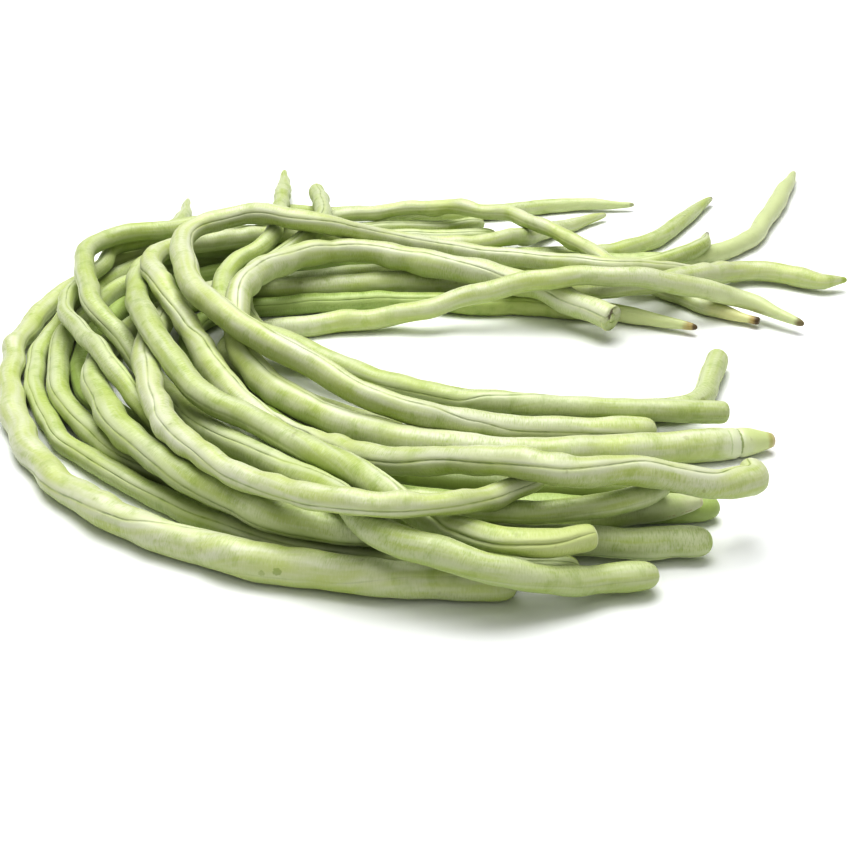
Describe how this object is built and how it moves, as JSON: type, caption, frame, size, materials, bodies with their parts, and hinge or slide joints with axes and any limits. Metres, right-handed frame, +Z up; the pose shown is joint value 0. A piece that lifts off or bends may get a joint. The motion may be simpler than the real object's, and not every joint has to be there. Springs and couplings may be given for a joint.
{
  "type": "yardlong bean bunch",
  "caption": "Bunch of long slender green bean pods bent round in a C and lying on a surface, side by side and over each other, with rounded, cut and pointed ends",
  "frame": {"origin": "middle of the bounding box in plan, on the surface the bunch lies on", "axes": "+Z up, the C opens towards +X, the near arm lies at -Y and the far arm at +Y"},
  "size_m": [0.3494, 0.3656, 0.0378],
  "materials": {
    "skin_outer_pod": "smooth green pod skin with a soft sheen and a dark suture line",
    "skin_second_pod": "smooth green pod skin with a soft sheen and a dark suture line",
    "skin_third_pod": "smooth green pod skin with a soft sheen and a dark suture line",
    "skin_fourth_pod": "smooth green pod skin with a soft sheen and a dark suture line",
    "skin_fifth_pod": "smooth green pod skin with a soft sheen and a dark suture line",
    "skin_thin_pod": "smooth green pod skin with a soft sheen and a dark suture line",
    "skin_under_pod": "smooth green pod skin with a soft sheen and a dark suture line",
    "skin_seam_pod": "smooth green pod skin with a soft sheen and a dark suture line",
    "skin_over_pod": "smooth green pod skin with a soft sheen and a dark suture line",
    "skin_long_pod": "smooth green pod skin with a soft sheen and a dark suture line",
    "skin_thick_pod": "smooth green pod skin with a soft sheen and a dark suture line",
    "skin_top_pod": "smooth green pod skin with a soft sheen and a dark suture line",
    "skin_inner_pod": "smooth green pod skin with a soft sheen and a dark suture line",
    "skin_upturned_pod": "smooth green pod skin with a soft sheen and a dark suture line",
    "skin_crossing_pod": "smooth green pod skin with a soft sheen and a dark suture line",
    "skin_shaded_pod": "smooth green pod skin with a soft sheen and a dark suture line"
  },
  "bodies": {
    "root": {"outer_pod": "skin_outer_pod", "second_pod": "skin_second_pod", "third_pod": "skin_third_pod", "fourth_pod": "skin_fourth_pod", "fifth_pod": "skin_fifth_pod", "thin_pod": "skin_thin_pod", "under_pod": "skin_under_pod", "seam_pod": "skin_seam_pod", "over_pod": "skin_over_pod", "long_pod": "skin_long_pod", "thick_pod": "skin_thick_pod", "top_pod": "skin_top_pod", "inner_pod": "skin_inner_pod", "upturned_pod": "skin_upturned_pod", "crossing_pod": "skin_crossing_pod", "shaded_pod": "skin_shaded_pod"}
  },
  "joints": []
}
